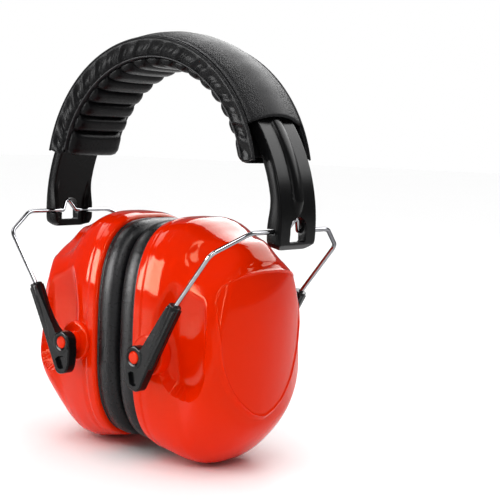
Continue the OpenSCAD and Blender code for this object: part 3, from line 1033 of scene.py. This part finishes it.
def prism(outline, y_low, y_high, inset=0.0):
    """Outline in XZ run along Y, with its far face drawn in by an inset."""
    ring = np.asarray(outline, float)
    middle = ring.mean(axis=0)
    rows = []
    for y, share in ((y_low, 0.0), (y_high - inset, 0.0), (y_high, inset)):
        away = ring - middle
        size = np.linalg.norm(away, axis=1)[:, None]
        flat = ring - away / size * share
        rows.append(np.column_stack([flat[:, 0], np.full(len(ring), y), flat[:, 1]]))
    return tube_shell(np.array(rows))


def bracket_plate():
    arc = np.radians(np.arange(190, 55, -8))
    eye = [(PIN[0] + EYE_R * math.cos(a), PIN[1] + EYE_R * math.sin(a)) for a in arc]
    outline = BRACKET_LOWER + eye + BRACKET_UPPER
    return prism(outline, BRACKET_IN_Y + 0.3, BRACKET_OUT_Y - 0.3, 0.5)


def bracket_tube():
    """Round socket that holds the wire's end, blending into the plate."""
    top, low = np.array([45.6, 44.5, 77.9]), np.array([30.5, 44.6, 49.5])
    along = (low - top) / np.linalg.norm(low - top)
    side = np.array([0.0, 1.0, 0.0])
    up = np.cross(along, side)
    turn = full_turn(28)[:, None]
    rings = []
    for s in np.linspace(0, 1, 24):
        point = top + (low - top) * s
        wide, tall = 2.95 - 0.35 * s, 2.85 + 0.1 * s
        rings.append(point + wide * np.cos(turn) * side + tall * np.sin(turn) * up)
    return tube_shell(np.array(rings))


def eye_ring():
    """Raised ring round the pin, chamfered on both edges."""
    profile = [
        (PIN_R + 0.25, BRACKET_IN_Y + 1), (EYE_R + 0.15, BRACKET_IN_Y + 1),
        (EYE_R + 0.15, BRACKET_OUT_Y - 0.7), (EYE_R - 0.35, BRACKET_OUT_Y - 0.05),
        (PIN_R + 0.9, BRACKET_OUT_Y - 0.05), (PIN_R + 0.25, BRACKET_OUT_Y - 0.6),
    ]
    return ring_shell(turned_rings(profile, PIN, 72))


def make_bracket():
    """Rear bracket of the right side: plate, socket and eye fused, then hollowed."""
    shell = join_shells(bracket_plate(), bracket_tube(), eye_ring())
    piece = make_piece("bracket_blank", shell, MATERIALS["bracket_plastic"])
    remesh = piece.modifiers.new("fuse", "REMESH")
    remesh.mode = "VOXEL"
    remesh.voxel_size = VOXEL_MM * MM
    apply_modifiers(piece)
    cut(piece, turned([(PIN_R + FIT, 30), (PIN_R + FIT, 60)], PIN))
    cut(piece, prism(BRACKET_HOLLOW, BRACKET_OUT_Y - HOLLOW_DEPTH, BRACKET_OUT_Y + 3))
    socket = np.linspace([47.5, 44.5, 81.4], [43.8, 44.5, 74.3], 4)
    cut(piece, sweep(socket, WIRE_R + FIT, 24))
    smooth = piece.modifiers.new("smooth", "SMOOTH")
    smooth.factor, smooth.iterations = 0.5, 2
    apply_modifiers(piece)
    points = np.array([v.co for v in piece.data.vertices]) / MM
    faces = [tuple(p.vertices) for p in piece.data.polygons]
    bpy.data.objects.remove(piece)
    return points, faces


# -------- putting it together

def place(piece, body, nodes=()):
    """Hangs a piece on the body it moves with, and hides the CAD nodes that it stands for."""
    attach(piece, body)
    if nodes:
        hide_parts(*nodes)


def add_cups():
    outer = outer_rows()
    liner = foam_liner(outer)
    for side in SIDES:
        piece = make_piece(f"{side}_liner", on_side(side, liner), MATERIALS["foam"])
        place(piece, f"{side}_cup", [f"{side}_foam_liner"])
    shell = build_cup(outer)
    for side in SIDES:
        piece = make_piece(f"{side}_cup", on_side(side, shell), MATERIALS["cup_plastic"], crease=50)
        place(piece, f"{side}_cup", [f"{side}_cup_shell"])


def add_cushions():
    shell, foam = ear_cushion(), foam_ring()
    for side in SIDES:
        piece = make_piece(f"{side}_cushion", on_side(side, shell), MATERIALS["cushion_leather"])
        place(piece, f"{side}_cup", [f"{side}_ear_cushion"])
        core = make_piece(f"{side}_foam_ring", on_side(side, foam), MATERIALS["foam"])
        place(core, f"{side}_cup", [f"{side}_cushion_foam"])
        for soft in (piece, core):
            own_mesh(soft)


def add_headband():
    leather, pad_leather = MATERIALS["cover_leather"], MATERIALS["pad_leather"]
    skin = make_piece("cover_skin", cover_skin(), leather, crease=60)
    place(skin, "headband", ["band_cover"])
    wall = side_wall()
    walls = make_piece("cover_walls", join_shells(wall, mirror_shell(wall, 1)), pad_leather)
    place(walls, "headband")
    place(make_piece("cover_piping", piping(), leather), "headband")
    pad = make_piece("ribbed_pad", head_pad(), pad_leather, crease=60)
    place(pad, "headband", ["head_pad"])
    strip = make_piece("core_strip", core_strip(), MATERIALS["carrier_plastic"], crease=40)
    place(strip, "headband", ["band_core"])


def add_arms():
    for side in SIDES:
        place(make_arm(side), f"{side}_arm", [f"{side}_arm"])


def add_wires():
    shell = yoke_wire()
    for side in SIDES:
        piece = make_piece(f"{side}_wire", on_side(side, shell), MATERIALS["yoke_steel"], crease=60)
        place(piece, f"{side}_yoke", [f"{side}_yoke_wire"])


def add_brackets():
    rear, plastic = make_bracket(), MATERIALS["bracket_plastic"]
    for end, shell in (("rear", rear), ("front", mirror_shell(rear, 1))):
        for side in SIDES:
            piece = make_piece(f"{side}_{end}_clip", on_side(side, shell), plastic, crease=35)
            place(piece, f"{side}_yoke", [f"{side}_{end}_bracket"])


def paint_cad_nodes():
    """Procedural material for the CAD nodes that stay: the two cushion plates."""
    for side in SIDES:
        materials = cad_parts[f"{side}_cushion_plate"].data.materials
        for i in range(len(materials)):
            materials[i] = MATERIALS["plate_plastic"]
        if not materials:
            materials.append(MATERIALS["plate_plastic"])


# -------- studio

CAMERA_AZIMUTH = 43.0
CAMERA_ELEVATION = 4.5
CAMERA_ROLL = 1.8
CAMERA_DISTANCE = 0.5656
CAMERA_TARGET = (0, 0, 0.105)
CAMERA_LENS = 84.95
CAMERA_SHIFT = (0.159, -0.038)
LIGHT_TARGET = (0, 0, 0.09)
GLOW_FROM = Vector((0.12, -0.2, 1))
GLOW_POWER = 3.1
GLOW_ANGLE = 85
AMBIENT = 0.2
FLOOR_DROP = 0.05  # keeps the floor clear of the cups, in mm

# Softboxes: name, azimuth, elevation, distance, size, power, whether surfaces mirror it.
SOFTBOXES = [
    ("fill", -40, 22, 1.2, (0.6, 0.6), 3, False),
    ("key", -34, 15, 1.1, (0.55, 0.5), 23, True),
    ("back", 176, 42, 1.2, (1.9, 0.9), 36, True),
    ("edge", 62, 12, 1.2, (0.05, 0.8), 2.2, True),
    ("strip", 27, 30, 1.1, (0.2, 0.8), 6, True),
    ("corner", 56, 57, 1.1, (0.3, 0.3), 4, True),
    ("left_top", -82, 46, 1.2, (0.9, 0.4), 6, True),
]


def direction_to(azimuth, elevation):
    """Unit vector from the object towards a place; azimuth 0 is the front, 90 is +X."""
    a, e = math.radians(azimuth), math.radians(elevation)
    return Vector((math.sin(a) * math.cos(e), -math.cos(a) * math.cos(e), math.sin(e)))


def add_aimed(name, data, away):
    """Camera or light that looks against the direction away."""
    made = bpy.data.objects.new(name, data)
    made.rotation_mode = "QUATERNION"
    made.rotation_quaternion = (-away).to_track_quat("-Z", "Y")
    bpy.context.scene.collection.objects.link(made)
    return made


def add_camera():
    away = direction_to(CAMERA_AZIMUTH, CAMERA_ELEVATION)
    data = bpy.data.cameras.new("camera")
    data.lens, data.sensor_width = CAMERA_LENS, 36
    data.shift_x, data.shift_y = CAMERA_SHIFT
    data.clip_start, data.clip_end = 0.01, 50
    camera = add_aimed("camera", data, away)
    camera.location = Vector(CAMERA_TARGET) + away * CAMERA_DISTANCE
    look = camera.rotation_quaternion.to_matrix()
    roll = Matrix.Rotation(math.radians(CAMERA_ROLL), 3, "Z")
    camera.rotation_quaternion = (look @ roll).to_quaternion()
    bpy.context.scene.camera = camera


def softbox(name, azimuth, elevation, distance, size, power, glossy):
    """Rectangular light aimed at the object, for either reflections or plain shading."""
    away = direction_to(azimuth, elevation)
    data = bpy.data.lights.new(name, "AREA")
    data.shape, data.size, data.size_y = "RECTANGLE", *size
    data.energy = power
    light = add_aimed(name, data, away)
    light.location = Vector(LIGHT_TARGET) + away * distance
    light.visible_glossy = glossy
    light.visible_diffuse = not glossy
    return light


def keep_off(light, piece_name):
    """Stops one light from shining on one piece."""
    spared = bpy.data.collections.new("spared_from_" + light.name)
    spared.objects.link(bpy.data.objects[piece_name])
    spared.collection_objects[0].light_linking.link_state = "EXCLUDE"
    light.light_linking.receiver_collection = spared


def overhead_glow():
    """Very wide, soft light from above that keeps the floor pale."""
    data = bpy.data.lights.new("overhead", "SUN")
    data.energy = GLOW_POWER
    data.angle = math.radians(GLOW_ANGLE)
    add_aimed("overhead", data, GLOW_FROM).visible_glossy = False


def add_lights():
    overhead_glow()
    lights = {row[0]: softbox(*row) for row in SOFTBOXES}
    # The far wire would wash out against the white ground.
    keep_off(lights["key"], "left_wire")


def add_world():
    """White ground for the camera that lights the object only faintly."""
    world = bpy.data.worlds.new("studio")
    world.use_nodes = True
    tree = world.node_tree
    light_path = tree.nodes.new("ShaderNodeLightPath")
    background = tree.nodes["Background"]
    background.inputs["Color"].default_value = (1, 1, 1, 1)
    strength = tree.nodes.new("ShaderNodeMapRange")
    strength.inputs["To Min"].default_value = AMBIENT
    strength.inputs["To Max"].default_value = 1.0
    tree.links.new(light_path.outputs["Is Camera Ray"], strength.inputs["Value"])
    tree.links.new(strength.outputs["Result"], background.inputs["Strength"])
    bpy.context.scene.world = world
    bpy.context.scene.view_settings.view_transform = "Standard"


def add_floor():
    half, z = 6000.0, -FLOOR_DROP
    points = [(-half, -half, z), (half, -half, z), (half, half, z), (-half, half, z)]
    surface = Surface("floor", (0.96, 0.96, 0.96), 0.6)
    surface.colour_between(surface.noise(3, detail=2), (0.955, 0.955, 0.955), (0.965, 0.965, 0.965))
    floor = make_piece("floor", (points, [(0, 1, 2, 3)]), surface.material)


add_cups()
add_cushions()
add_headband()
add_arms()
add_wires()
add_brackets()
paint_cad_nodes()
add_world()
add_floor()
add_lights()
add_camera()
